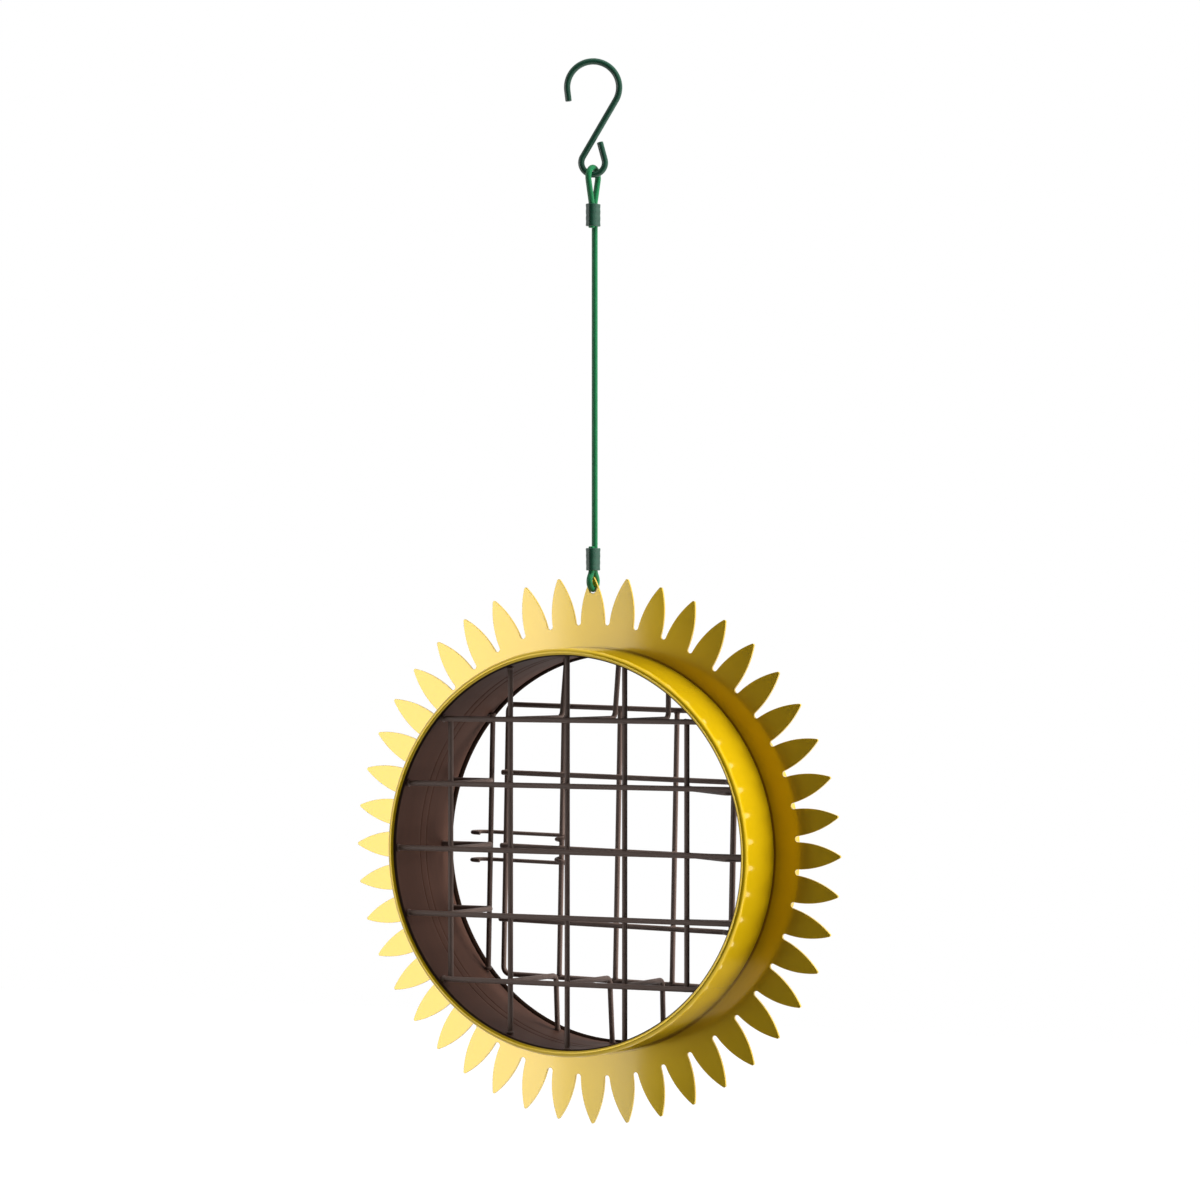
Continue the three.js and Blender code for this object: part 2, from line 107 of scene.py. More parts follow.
def make_piece(name, grids, crease=35.0, marks=None):
    """One object from grids of points in millimetres, each of shape (rows, columns, 3) or
    (copies, rows, columns, 3).  Doubles are merged, faces turned outwards, and edges that
    turn by more than the crease, in degrees, stay sharp.  marks gives each grid's own (u, v)."""
    grids = [g if g.ndim == 4 else g[None] for g in grids]
    starts = np.cumsum([0] + [g.size // 3 for g in grids])
    points = np.concatenate([g.reshape(-1, 3) for g in grids]) * MM
    faces = np.concatenate([
        (grid_faces(*g.shape[1:3])[None]
         + start + np.arange(g.shape[0])[:, None, None] * g.shape[1] * g.shape[2]).reshape(-1, 4)
        for g, start in zip(grids, starts)])
    mesh = bpy.data.meshes.new(name)
    mesh.from_pydata(points, [], faces.tolist())
    if marks is not None:
        corner_points = np.zeros(len(mesh.loops), np.int32)
        mesh.loops.foreach_get("vertex_index", corner_points)
        flat = np.concatenate([m.reshape(-1, 2) for m in marks])
        mesh.uv_layers.new(name="along").data.foreach_set("uv", flat[corner_points].ravel())
    shaped = bmesh.new()
    shaped.from_mesh(mesh)
    bmesh.ops.remove_doubles(shaped, verts=shaped.verts, dist=same_place)
    bmesh.ops.recalc_face_normals(shaped, faces=shaped.faces)
    shaped.to_mesh(mesh)
    shaped.free()
    mesh.shade_smooth()
    mesh.set_sharp_from_angle(angle=math.radians(crease))
    piece = bpy.data.objects.new(name, mesh)
    scene.collection.objects.link(piece)
    return piece


print("a 3 by 4 grid has", len(grid_faces(3, 4)), "cells")

# %% [markdown]
# ## Wire
#
# Most of the feeder is bent wire.  A curve with a bevel would do, but a ring of points carried
# along a path can also close its own ends, with the small burr-free chamfer that cut and
# painted wire has.

# %% Carry a ring along a path
def unit(vectors):
    """Each vector divided by its own length."""
    return vectors / np.linalg.norm(vectors, axis=-1, keepdims=True)


def arc(centre, radius, start, sweep, count, across, along):
    """Points of an arc: centre + radius (cos a * across + sin a * along), where a runs evenly
    from start to start + sweep."""
    a = start + sweep * np.linspace(0.0, 1.0, count)[:, None]
    return np.asarray(centre) + radius * (np.cos(a) * across + np.sin(a) * along)


def bend(before, corner, after, radius, count=9):
    """A corner rounded by the arc that touches both runs: it starts radius * tan(turn / 2)
    before the corner, and its centre lies one radius to the inside."""
    coming, going = unit(corner - before), unit(after - corner)
    turn = math.acos(float(coming @ going))
    inward = unit(going - (coming @ going) * coming)
    start = corner - coming * radius * math.tan(turn / 2)
    return arc(start + inward * radius, radius, -math.pi / 2, turn, count, coming, inward)


cap_rings = 5


def tube(path, radius, reference, sides=20, closed=False, chamfer=0.3):
    """A round wire.  The ring at a path point p is p + radius (cos a * side + sin a * lift),
    where side = reference x tangent and lift = tangent x side.  At an open end the last point
    becomes cap_rings rings: they draw in round a quarter circle, the chamfer, and the outermost
    closes at its middle."""
    path = np.asarray(path, float)
    reference = np.broadcast_to(np.asarray(reference, float), path.shape)
    if closed:
        tangent = unit(np.roll(path, -1, 0) - np.roll(path, 1, 0))
        path, tangent = np.vstack([path, path[:1]]), np.vstack([tangent, tangent[:1]])
        reference = np.vstack([reference, reference[:1]])
        size = np.full(len(path), radius)
    else:
        tangent = unit(np.gradient(path, axis=0))
        quarter = np.linspace(0.0, math.pi / 2, cap_rings - 1)
        back = np.append(chamfer * (1 - np.sin(quarter)), 0.0)[:, None]
        rim = np.append(radius - chamfer * (1 - np.cos(quarter)), 0.0)
        path = np.vstack([(path[0] + back * tangent[0])[::-1], path[1:-1],
                          path[-1] - back * tangent[-1]])
        size = np.concatenate([rim[::-1], np.full(len(path) - 2 * cap_rings, radius), rim])
        copies = np.r_[np.zeros(cap_rings, int), np.arange(1, len(tangent) - 1),
                       np.full(cap_rings, len(tangent) - 1)]
        tangent, reference = tangent[copies], reference[copies]
    side = unit(np.cross(reference, tangent))
    lift = np.cross(tangent, side)
    a = np.linspace(0.0, 2 * math.pi, sides + 1)[None, :, None]
    return path[:, None] + size[:, None, None] * (np.cos(a) * side[:, None]
                                                  + np.sin(a) * lift[:, None])


def run_length(path):
    """The length along a path up to each of its points."""
    return np.concatenate([[0.0], np.cumsum(np.linalg.norm(np.diff(path, axis=0), axis=1))])


print("a tube of", tube([[0, 0, 0], [0, 0, 5], [0, 0, 10]], 1.0, across_x).shape, "points")

# %% [markdown]
# ## The hanger cable
#
# The cable is stranded steel in a green plastic coat.  It is one length: up through a crimped
# sleeve, round the hook's eye, back down through the sleeve, straight to the second sleeve,
# through the hole in the top petal and up again.  It is stiff and held taut by the feeder's
# weight, so it is drawn as straight runs and round loops, and not left to hang by simulation.

# %% The cable's path
hook_wire, bow_radius, eye_radius, hook_pitch = 3.0, 12.1, 5.5, 35.0
cable_wire, fit_gap, hanger_length = 2.8, 0.3, 196.0
half_pitch = (cable_wire + fit_gap) / 2
upper_loop, lower_loop, upper_neck, lower_neck = 4.7, 3.65, 15.5, 7.3
sleeve_length, dead_end, neck_bend = 10.4, 0.8, 3.2

bow_z = -(bow_radius - hook_wire / 2)
eye_z = bow_z - hook_pitch
cable_top = eye_z - eye_radius + hook_wire / 2 + cable_wire / 2 + fit_gap
cable_bottom = cable_top - hanger_length
upper_sleeve_top = cable_top - upper_neck - cable_wire / 2
lower_sleeve_bottom = cable_bottom + lower_neck + cable_wire / 2


def loop_path(centre_z, radius, neck_z, up):
    """A loop seen from the side: from the front strand, out along the straight run that
    touches the circle, round it, and back to the rear strand.  The straight run leans by
    asin(radius / h) - atan(half pitch / reach), where h is the straight line from the neck
    to the circle's centre."""
    reach = abs(centre_z - neck_z)
    lean = (math.asin(radius / math.hypot(half_pitch, reach)) - math.atan2(half_pitch, reach))
    ring = arc([0.0, 0.0, centre_z], radius, math.pi + up * lean,
               -up * (math.pi + 2 * lean), 49, across_y, across_z)
    front, rear = np.array([0, -half_pitch, neck_z]), np.array([0, half_pitch, neck_z])
    away = np.array([0, 0, -up * radius])
    return np.vstack([bend(front + away, front, ring[0], neck_bend), ring,
                      bend(ring[-1], rear, rear + away, neck_bend)])


upper_round = loop_path(cable_top - upper_loop, upper_loop, upper_sleeve_top + cable_wire / 4, 1)
lower_round = loop_path(cable_bottom + lower_loop, lower_loop,
                        lower_sleeve_bottom - cable_wire / 4, -1)[::-1]
upper_end = [0, -half_pitch, upper_sleeve_top - sleeve_length - dead_end]
lower_end = [0, -half_pitch, lower_sleeve_bottom + sleeve_length + dead_end]
cable_path = np.vstack([
    np.linspace(upper_end, upper_round[0], 12)[:-1], upper_round,
    np.linspace(upper_round[-1], lower_round[0], 120)[1:-1], lower_round,
    np.linspace(lower_round[-1], lower_end, 12)[1:]])
cable_run = run_length(cable_path)
print("the cable is", round(cable_run[-1], 1), "mm long")

# %% The cable itself
cable_sides, mark_length = 28, 100.0
cable_grid = tube(cable_path, cable_wire / 2, across_x, cable_sides, chamfer=0.35)
extra_rings = cap_rings - 1
cable_marks = np.stack(np.meshgrid(
    np.r_[np.zeros(extra_rings), cable_run, np.full(extra_rings, cable_run[-1])] / mark_length,
    np.linspace(0.0, 1.0, cable_sides + 1), indexing="ij"), -1)
cable = make_piece("green_cable", [cable_grid], marks=[cable_marks])
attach(cable, "hanger")
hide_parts("hanger_cable")
print("cable faces:", len(cable.data.polygons))

# %% [markdown]
# ## The crimped sleeves
#
# A sleeve is a short oval tube of soft metal, pressed round both strands.  The press leaves
# shallow bands across the flat sides.  The wall is one closed profile, carried round the oval,
# and the bands are dips in its reach along X.

# %% Sleeves
strand_gap, sleeve_wall, sleeve_edge = 0.12, 1.0, 0.35
press_places, press_width, press_depth = (0.2, 0.5, 0.8), 0.085, 0.05


def sleeve_grid(bottom_z, taper):
    """An oval wall: the point at turn a is x = w cos a, y = +-half pitch + w sin a, where w
    runs along the wall's closed profile.  Three bell-shaped dips narrow x by press_depth, and
    taper narrows the whole sleeve towards its lower end."""
    inner, outer = cable_wire / 2 + strand_gap, cable_wire / 2 + fit_gap + sleeve_wall
    edge = sleeve_edge
    height = np.linspace(edge, sleeve_length - edge, 40)
    corner = np.linspace(0.0, math.pi / 2, 5)
    w = np.concatenate([outer - edge + edge * np.sin(corner), np.full(len(height) - 2, outer),
                        outer - edge + edge * np.cos(corner), [inner, inner, outer - edge]])
    z = np.concatenate([edge - edge * np.cos(corner), height[1:-1],
                        sleeve_length - edge + edge * np.sin(corner), [sleeve_length, 0.0, 0.0]])
    a = np.linspace(0.0, 2 * math.pi, 49)
    side = np.where(np.sin(a) >= 0, 1.0, -1.0)
    bands = sum(np.exp(-((z / sleeve_length - place) / press_width) ** 2)
                for place in press_places) * (w > inner)
    reach = w * (1 - taper * (1 - z / sleeve_length))
    x = reach[:, None] * np.cos(a) * (1 - press_depth * bands[:, None])
    y = side * half_pitch + reach[:, None] * np.sin(a)
    grid = np.stack([x, y, np.broadcast_to(z[:, None] + bottom_z, x.shape)], -1)
    return np.concatenate([grid, grid[:, :1]], 1)


sleeves = []
for name, node, bottom_z, taper in (
        ("upper_sleeve", "upper_ferrule", upper_sleeve_top - sleeve_length, 0.0),
        ("lower_sleeve", "lower_ferrule", lower_sleeve_bottom, 0.06)):
    sleeve = make_piece(name, [sleeve_grid(bottom_z, taper)])
    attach(sleeve, "hanger")
    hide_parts(node)
    sleeves.append(sleeve)

print("sleeves:", [s.name for s in sleeves])

# %% [markdown]
# ## The S-hook
#
# A 3 mm wire bent both ways: a wide bow over the branch and a small eye for the cable.  The two
# arcs turn opposite ways, and the straight shank is their crossing tangent.  Both ends flare
# a little, so that the hook can be slipped on.

# %% S-hook
hook_turn = math.radians(28)
hook_across = np.array([math.cos(hook_turn), math.sin(hook_turn), 0.0])
shank_turn = math.asin((bow_radius + eye_radius) / hook_pitch)
lip_turn, tail_turn = math.radians(7), math.radians(15)
lip_length, tail_length = 5.1, 8.5
bow = arc([0, 0, bow_z], bow_radius, math.pi + lip_turn, -(math.pi + lip_turn + shank_turn),
          61, hook_across, across_z)
eye = arc([0, 0, eye_z], eye_radius, math.pi - shank_turn, math.pi + shank_turn + tail_turn,
          49, hook_across, across_z)
lip = bow[0] + lip_length * (math.sin(lip_turn) * hook_across - math.cos(lip_turn) * across_z)
tail = eye[-1] + tail_length * (math.cos(tail_turn) * across_z
                                - math.sin(tail_turn) * hook_across)
hook_path = np.vstack([np.linspace(lip, bow[0], 4)[:-1], bow,
                       np.linspace(bow[-1], eye[0], 8)[1:-1], eye,
                       np.linspace(eye[-1], tail, 5)[1:]])
hook = make_piece("hanging_hook", [tube(hook_path, hook_wire / 2,
                                        np.cross(hook_across, across_z), 28, chamfer=0.5)])
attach(hook, "hook")
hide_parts("s_hook")
print("hook wire", round(run_length(hook_path)[-1], 1), "mm long")

# %% [markdown]
# ## The petal ring
#
# Forty-four petals are cut from one flat sheet.  Each is a pointed arch, two arcs that meet
# under a small round tip, and a round-bottomed slot parts it from the next.  From the middle
# of the ring every point of that outline is in sight, so a grid of straight spokes, from the
# bore out to the outline, covers the sheet.  Paint rounds the cut edges, and a small bevel
# catches the light as they do.

# %% Petal outline
petal_count, sheet, drum_radius = 44, 1.3, 94.0034
slot_radius, tip_round, ring_width, petal_length = 1.35, 0.8, 10.7, 22.5
half_angle = math.pi / petal_count
slot_centre = drum_radius + ring_width + slot_radius
tip_radius = drum_radius + ring_width + petal_length
root_half = slot_centre * math.sin(half_angle) - slot_radius
root_out = slot_centre * math.cos(half_angle)
tip_out = tip_radius - tip_round - root_out
side_radius = (root_half ** 2 + tip_out ** 2 - tip_round ** 2) / (2 * (root_half - tip_round))
side_sweep = math.atan2(tip_out, side_radius - root_half)


def flat_arc(x, y, radius, start, end, count):
    """Points of a flat arc from start up to, but not including, end."""
    a = np.linspace(start, end, count, endpoint=False)
    return np.stack([x + radius * np.cos(a), y + radius * np.sin(a)], -1)


one_petal = np.vstack([
    flat_arc(root_half - side_radius, root_out, side_radius, 0, side_sweep, 12),
    flat_arc(0, root_out + tip_out, tip_round, side_sweep, math.pi - side_sweep, 12),
    flat_arc(side_radius - root_half, root_out, side_radius, math.pi - side_sweep, math.pi, 12),
    flat_arc(-slot_centre * math.sin(half_angle), root_out, slot_radius, 0,
             -(math.pi - 2 * half_angle), 16)])
turns = 2 * half_angle * np.arange(petal_count)[:, None]
outline = np.stack([
    one_petal[:, 0] * np.cos(turns) - one_petal[:, 1] * np.sin(turns),
    one_petal[:, 0] * np.sin(turns) + one_petal[:, 1] * np.cos(turns)], -1).reshape(-1, 2)
print("outline points:", len(outline))

# %% Petal sheet
grip, cut_bevel, spoke_step, petal_crease = 0.05, 0.13, 0.5, 16.0


def petal_grid():
    """The ring's closed profile, carried round the outline.  A profile point is either on the
    bore, at (bore + inset) along the spoke, or on the outline, moved inwards by inset along
    the edge's own normal; its depth runs from the front face to the rear one.  The bore
    grips the drum, and one more circle halves the spokes."""
    edge = unit(np.roll(outline, -1, 0) - np.roll(outline, 1, 0))
    outward = np.stack([edge[:, 1], -edge[:, 0]], -1)
    spoke = unit(outline)
    bore, half, bevel = drum_radius - grip, sheet / 2, cut_bevel
    soft = bevel * (1 - math.sqrt(0.5))
    outer = [(bevel, -half), (soft, soft - half), (0, bevel - half),
             (0, half - bevel), (soft, half - soft), (bevel, half)]
    inner = [(bevel, half), (0, half - bevel), (0, bevel - half), (bevel, -half)]
    middle = (bore + np.linalg.norm(outline, axis=-1).min() - spoke_step) / 2
    rows = ([outline - inset * outward for inset, _ in outer] + [spoke * middle]
            + [spoke * (bore + inset) for inset, _ in inner] + [spoke * middle])
    depth = np.array([d for _, d in outer] + [half] + [d for _, d in inner] + [-half])
    flat = np.stack(rows)
    grid = np.stack([flat[..., 0], np.broadcast_to(depth[:, None], flat.shape[:2]),
                     ring_centre[2] + flat[..., 1]], -1)
    grid = np.concatenate([grid, grid[:1]])
    return np.concatenate([grid, grid[:, :1]], 1)


petals = make_piece("petal_ring", [petal_grid()], crease=petal_crease)
print("petal ring faces:", len(petals.data.polygons))

# %% [markdown]
# The cable passes through a hole in the top petal.  A cutter whose two ends flare leaves the
# hole with a small chamfer on both faces.  It has 50 sides, so that no corner of it falls on
# the spoke that already runs up the middle of the petal, which would leave splinters.

# %% Cable hole
def turned_ring(profile, centre, segments):
    """A closed surface turned about an axis along Y: x = r cos a, y = depth, z = r sin a."""
    r, depth = np.asarray(profile, float).T[:, :, None]
    a = np.linspace(0.0, 2 * math.pi, segments + 1)
    x, z = r * np.cos(a), r * np.sin(a)
    return np.stack([x, np.broadcast_to(depth, x.shape), z], -1) + centre


hole_radius, hole_web, hole_chamfer = 1.8, 1.57, 0.2
past_face, cutter_sides = 1.0, 50
hole_out = root_out + math.sqrt(side_radius ** 2
                                - (side_radius - root_half + hole_radius + hole_web) ** 2)
face, flare = sheet / 2, hole_radius + hole_chamfer + past_face
cutter_profile = [(0, -face - past_face), (flare, -face - past_face),
                  (hole_radius, hole_chamfer - face), (hole_radius, face - hole_chamfer),
                  (flare, face + past_face), (0, face + past_face)]
cutter = make_piece("hole_cutter", [turned_ring(
    cutter_profile, ring_centre + hole_out * across_z, cutter_sides)])
cut = petals.modifiers.new("cable hole", "BOOLEAN")
cut.operation, cut.solver, cut.object = "DIFFERENCE", "EXACT", cutter
whole = petals.data
petals.data = bpy.data.meshes.new_from_object(
    petals.evaluated_get(bpy.context.evaluated_depsgraph_get()))
petals.data.name = "petal_ring"
petals.modifiers.clear()
bpy.data.objects.remove(cutter)
bpy.data.meshes.remove(whole)
petals.data.set_sharp_from_angle(angle=math.radians(petal_crease))
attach(petals, "feeder")
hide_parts("petal_plate")
print("hole centre at", round(float(ring_centre[2] + hole_out), 2), "mm")

# %% [markdown]
# ## The drum
#
# The drum is a strip of sheet rolled to a short cylinder, with both edges curled inwards round
# a wire.  Its cross-section is one closed line, the two curls joined by the two faces of the
# wall, turned about the drum's axis.

# %% Drum shell
shell_wall, bead, shell_segments = 1.0, 1.8, 288
front, rear = -29.1, 27.6
bead_centre = drum_radius - bead
meet = math.acos((drum_radius - shell_wall - bead_centre) / bead)
roll = 2 * math.pi - meet
curl = np.linspace(0.0, 1.0, 29)
front_curl = np.stack([bead_centre + bead * np.cos(meet + roll * curl),
                       front + bead + bead * np.sin(meet + roll * curl)], -1)
rear_curl = np.stack([bead_centre + bead * np.cos(roll * curl),
                      rear - bead + bead * np.sin(roll * curl)], -1)
wall = np.linspace(front_curl[-1], rear_curl[0], 22)[1:-1]
inner_wall = np.linspace(rear_curl[-1], front_curl[0], 8)[1:]
drum_profile = np.vstack([front_curl, wall, rear_curl, inner_wall])
drum = make_piece("drum", [turned_ring(drum_profile, ring_centre, shell_segments)], crease=50.0)
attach(drum, "feeder")
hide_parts("drum_shell")
print("drum faces:", len(drum.data.polygons))

# %% [markdown]
# A brown strip lines the drum.  Two fine grooves run round it, one on each side of the middle,
# where the strip was rolled.

# %% Drum liner
liner_sheet, liner_edge, liner_segments = 1.2, 0.2, 256
liner_outer = drum_radius - shell_wall - fit_gap
liner_inner = liner_outer - liner_sheet
liner_front, liner_rear = front + 2 * bead + fit_gap, rear - 2 * bead - fit_gap
groove_places, groove_depth, groove_width = (-2.75, 2.75), 0.28, 0.45
depths = np.unique(np.concatenate(
    [np.linspace(liner_front + liner_edge, liner_rear - liner_edge, 16)]
    + [place + groove_width * np.linspace(-2, 2, 13) for place in groove_places]))
grooves = sum(np.exp(-((depths - place) / groove_width) ** 2) for place in groove_places)
inside = np.stack([liner_inner + groove_depth * grooves, depths], -1)[::-1]
edge_radius = liner_inner + liner_edge
liner_profile = np.vstack([
    [(edge_radius, liner_front), (liner_outer, liner_front), (liner_outer, liner_rear),
     (edge_radius, liner_rear)], inside, [(edge_radius, liner_front)]])
liner = make_piece("drum_lining", [turned_ring(liner_profile, ring_centre, liner_segments)])
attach(liner, "feeder")
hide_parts("drum_liner")
print("liner faces:", len(liner.data.polygons))

# %% [markdown]
# ## The cage
#
# The front grid's wires take their places from the measured model: the long side of a wire's
# box is its run.  The ties are wires with one bend, and most of them lean a little to one side.
# Painted wire is never quite round at its cut ends, so each gets its own small chamfer from
# the tube.

# %% Straight wires
wire = 1.25


def node_box(node):
    """A measured piece's lowest and highest corners, in millimetres."""
    low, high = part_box(node)
    return np.array(low) / MM, np.array(high) / MM


def centre_of(node):
    """The middle of a measured piece's box."""
    low, high = node_box(node)
    return (low + high) / 2


def dress(node, body, path, reference, radius=wire, sides=20, closed=False):
    """Makes the tube that stands for a measured wire, and says what it rides on."""
    piece = make_piece(node + "_wire", [tube(path, radius, reference, sides, closed)])
    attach(piece, body)
    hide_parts(node)
    return piece


def straight_wire(node):
    """A wire along the longest side of the measured piece's box."""
    low, high = node_box(node)
    run = int(np.argmax(high - low))
    ends = np.array([(low + high) / 2] * 2)
    ends[:, run] = low[run], high[run]
    return dress(node, "feeder", np.linspace(*ends, 12), np.eye(3)[(run + 1) % 3])


cage_wires = [straight_wire(f"front_{kind}_{i}")
              for kind in ("row", "column") for i in range(1, 6)]
rows = [centre_of(f"front_row_{i}")[2] for i in range(1, 6)]
columns = [centre_of(f"front_column_{i}")[0] for i in range(1, 6)]
row_y, column_y = centre_of("front_row_1")[1], centre_of("front_column_1")[1]
print("front wires:", len(cage_wires))

# %% Ties
layer, tie_bend, tie_reach, lining_sides = 2 * wire + fit_gap, 3.0, 39.5, 64
tie_y = column_y + tie_reach
wall_radius = liner_inner * math.cos(math.pi / lining_sides) - fit_gap
straight = (0.0, 0.0, 0.0)
tie_kinds = {
    "left": (-across_x, across_z, straight, straight),
    "right": (across_x, across_z, (-3.5, -3.8, -2.7), (-2.5, -2.8, -1.7)),
    "top": (across_z, across_x, (5.7, 3.9, 2.1), (8.0, 6.3, 2.2)),
    "bottom": (-across_z, across_x, (2.5, 1.2, -1.0), (3.3, 2.6, -0.5)),
}


def wall_reach(offset):
    """How far a wire runs before it meets the wall: sqrt(wall^2 - (|offset| + wire)^2)."""
    return math.sqrt(wall_radius ** 2 - (abs(offset) + wire) ** 2)


def tie_corners(side, i):
    """Where a tie starts behind its column, where it turns, and where it meets the wall."""
    out, sideways, turn_shifts, end_shifts = tie_kinds[side]
    x = {"left": columns[0], "right": columns[4]}.get(side, columns[i])
    z = {"top": rows[0], "bottom": rows[4]}.get(side, rows[i])
    start = np.array([x, column_y + wire + fit_gap, z])
    corner = np.array([x, tie_y, z]) + turn_shifts[i - 1] * sideways
    end = np.array([x, tie_y, z]) + end_shifts[i - 1] * sideways
    reach = wall_reach(float((end - ring_centre) @ sideways))
    return start, corner, end + (reach - (end - ring_centre) @ out) * out


ties = {(side, i): tie_corners(side, i) for side in tie_kinds for i in (1, 2, 3)}
for (side, i), (start, corner, end) in ties.items():
    turn = bend(start, corner, end, tie_bend)
    path = np.vstack([np.linspace(start, turn[0], 8)[:-1], turn,
                      np.linspace(turn[-1], end, 6)[1:]])
    cage_wires.append(dress(f"tie_{side}_{i}", "feeder", path,
                            np.cross(tie_kinds[side][0], across_y)))
print("cage wires with ties:", len(cage_wires))

# %% [markdown]
# ## The door and its posts
#
# Two posts stand behind the side ties.  The door is a closed loop of wire with small corners on
# its free side and large ones beside the hinge.  Three columns and three rows cross it.  The
# outer two rows run past the loop, step back, and hook round the hinge post, which is how the
# door turns.  Posts and door lean a little to the right at the top, so each is drawn upright
# and then turned about the drum's axis.

# %% Posts
rear_lean = math.radians(1.2)


def leaning(points):
    """Turned about the drum's axis: x' = x cos a + z sin a and z' = z cos a - x sin a, with z
    measured from the ring's middle."""
    x, y, z = np.moveaxis(np.asarray(points, float) - ring_centre, -1, 0)
    return ring_centre + np.stack([x * math.cos(rear_lean) + z * math.sin(rear_lean), y,
                                   z * math.cos(rear_lean) - x * math.sin(rear_lean)], -1)


def upright(x, y, middle, half):
    """A vertical line of points about a height measured from the ring's middle."""
    return np.linspace([x, y, middle - half], [x, y, middle + half], 12) + ring_centre


post_y = tie_y + layer
door_y = post_y + layer
hinge_x, latch_x = 62.0, -67.0
for node, x in (("hinge_post", hinge_x), ("latch_post", latch_x)):
    cage_wires.append(dress(node, "feeder", leaning(upright(x, post_y, 0.0, wall_reach(x))),
                            across_x))
print("cage wires with posts:", len(cage_wires))

# %% Door frame and columns
half_width, half_height, door_rise = 60.2, 64.1, 1.3
free_corner, hinge_corner = 3.5, 16.0
places = [ring_centre + np.array([x, door_y, door_rise + z]) for x, z in (
    (-half_width, half_height), (half_width, half_height),
    (half_width, -half_height), (-half_width, -half_height))]
radii = (free_corner, hinge_corner, hinge_corner, free_corner)
turns = [bend(places[k - 1], places[k], places[(k + 1) % 4], radii[k], 13) for k in range(4)]
frame_path = np.vstack([np.vstack([turns[k], np.linspace(turns[k][-1], turns[(k + 1) % 4][0],
                                                         12)[1:-1]]) for k in range(4)])
door_wires = [dress("door_frame", "door", leaning(frame_path), across_y, closed=True)]
door_columns = (-30.0, 0.0, 30.0)
for i, x in enumerate(door_columns, 1):
    line = upright(x, door_y, door_rise, half_height - wire - fit_gap)
    door_wires.append(dress(f"door_column_{i}", "door", leaning(line), across_x))
print("door loop", round(run_length(frame_path)[-1], 1), "mm round")

# %% Door rows
row_pitch, row_drop, wrap_sweep = 34.8, 3.0, math.radians(210)
door_rows = [ring_centre[2] + door_rise + (2 - i) * row_pitch - row_drop for i in (1, 2, 3)]
jog_turn = math.acos(0.5)
for i, row_z in enumerate(door_rows, 1):
    start = np.array([-half_width - wire, post_y, row_z])
    if i == 2:
        path = np.linspace(start, [hinge_x - wire - fit_gap, post_y, row_z], 16)
    else:
        jog_x = hinge_x - 2 * layer * math.sin(jog_turn)
        jog = arc([jog_x, post_y - layer, row_z], layer, math.pi / 2, -jog_turn, 7,
                  across_x, across_y)
        wrap = arc([hinge_x, post_y, row_z], layer, 1.5 * math.pi - jog_turn, wrap_sweep, 29,
                   across_x, across_y)
        path = np.vstack([np.linspace(start, jog[0], 14)[:-1], jog, wrap[1:]])
    door_wires.append(dress(f"door_row_{i}", "door", leaning(path), across_z))
print("door wires:", len(door_wires))

# %% [markdown]
# ## The latch
#
# One length of thin wire.  Its middle winds round the first door column, and its two arms reach
# past the door and curl round the latch post.  It is drawn as a flat path that is then rolled
# up: along the winding, a run of length s becomes a turn of s / radius about the column.

# %% Latch
latch_wire, arm_half, curl_radius, curl_reach, curl_lip = 1.85, 6.55, 6.1, 2.5, 0.6
winding_sweep, winding_drop, winding_bend, latch_drop = math.radians(331), 2.6, 1.3, 0.65
wrap_radius = wire + latch_wire / 2 + fit_gap
column_x, latch_z = door_columns[0], door_rows[1] - latch_drop
curl_x = latch_x - column_x - curl_reach


def latch_half():
    """The upper half of the latch about its column, with the way each point faces: a lip, the
    curl's half circle, the straight arm, and the winding that ends halfway down."""
    curl_centre = np.array([curl_x, wrap_radius - curl_radius, arm_half])
    curl = arc(curl_centre, curl_radius, -math.pi / 2, -math.pi, 33, across_x, across_y)
    lip = np.array([[curl_x + curl_lip, wrap_radius - 2 * curl_radius, arm_half]])
    slope = winding_drop / (2 * math.pi * wrap_radius)
    length = winding_sweep * wrap_radius
    flat_start = np.array([0.0, 0.0, arm_half])
    turn = bend(flat_start, np.array([length, 0.0, arm_half - slope * length]),
                np.array([length, 0.0, 0.0]), winding_bend, 7)
    flat = np.vstack([np.linspace(flat_start, turn[0], 40)[:-1], turn])
    a = math.pi / 2 - flat[:, 0] / wrap_radius
    around = np.stack([np.cos(a), np.sin(a), np.zeros_like(a)], -1)
    wound = wrap_radius * around + flat[:, 2:] * across_z
    arm = np.linspace(curl[-1], wound[0], 12)[1:-1]
    path = np.vstack([lip, curl, arm, wound])
    facing = np.vstack([-across_y[None], unit(curl - curl_centre),
                        np.broadcast_to(across_y, arm.shape), around])
    return path, facing


half_path, half_facing = latch_half()
mirror = np.array([1.0, 1.0, -1.0])
latch_path = np.vstack([half_path, (half_path * mirror)[::-1]])
latch_facing = np.vstack([half_facing, half_facing[::-1]])
latch = dress("latch_clip", "latch", leaning(latch_path + [column_x, door_y, latch_z]),
              latch_facing, radius=latch_wire / 2, sides=16)
print("latch wire", round(run_length(latch_path)[-1], 1), "mm long")

# %% [markdown]
# ## Welds
#
# Where two wires cross they are spot welded, and where a wire meets the drum it is welded to
# the lining.  Under paint a weld is a small soft swelling that fills the notch.  All the
# swellings of one body are one piece: the same rounded form, copied to every place.

# %% Weld places
crossing_weld, tie_weld, frame_weld = [1.45, 1.5, 1.45], [1.5, 1.3, 1.5], [1.5, 1.2, 1.1]
wall_weld = {0: [1.0, 1.75, 1.75], 2: [1.75, 1.75, 1.0]}


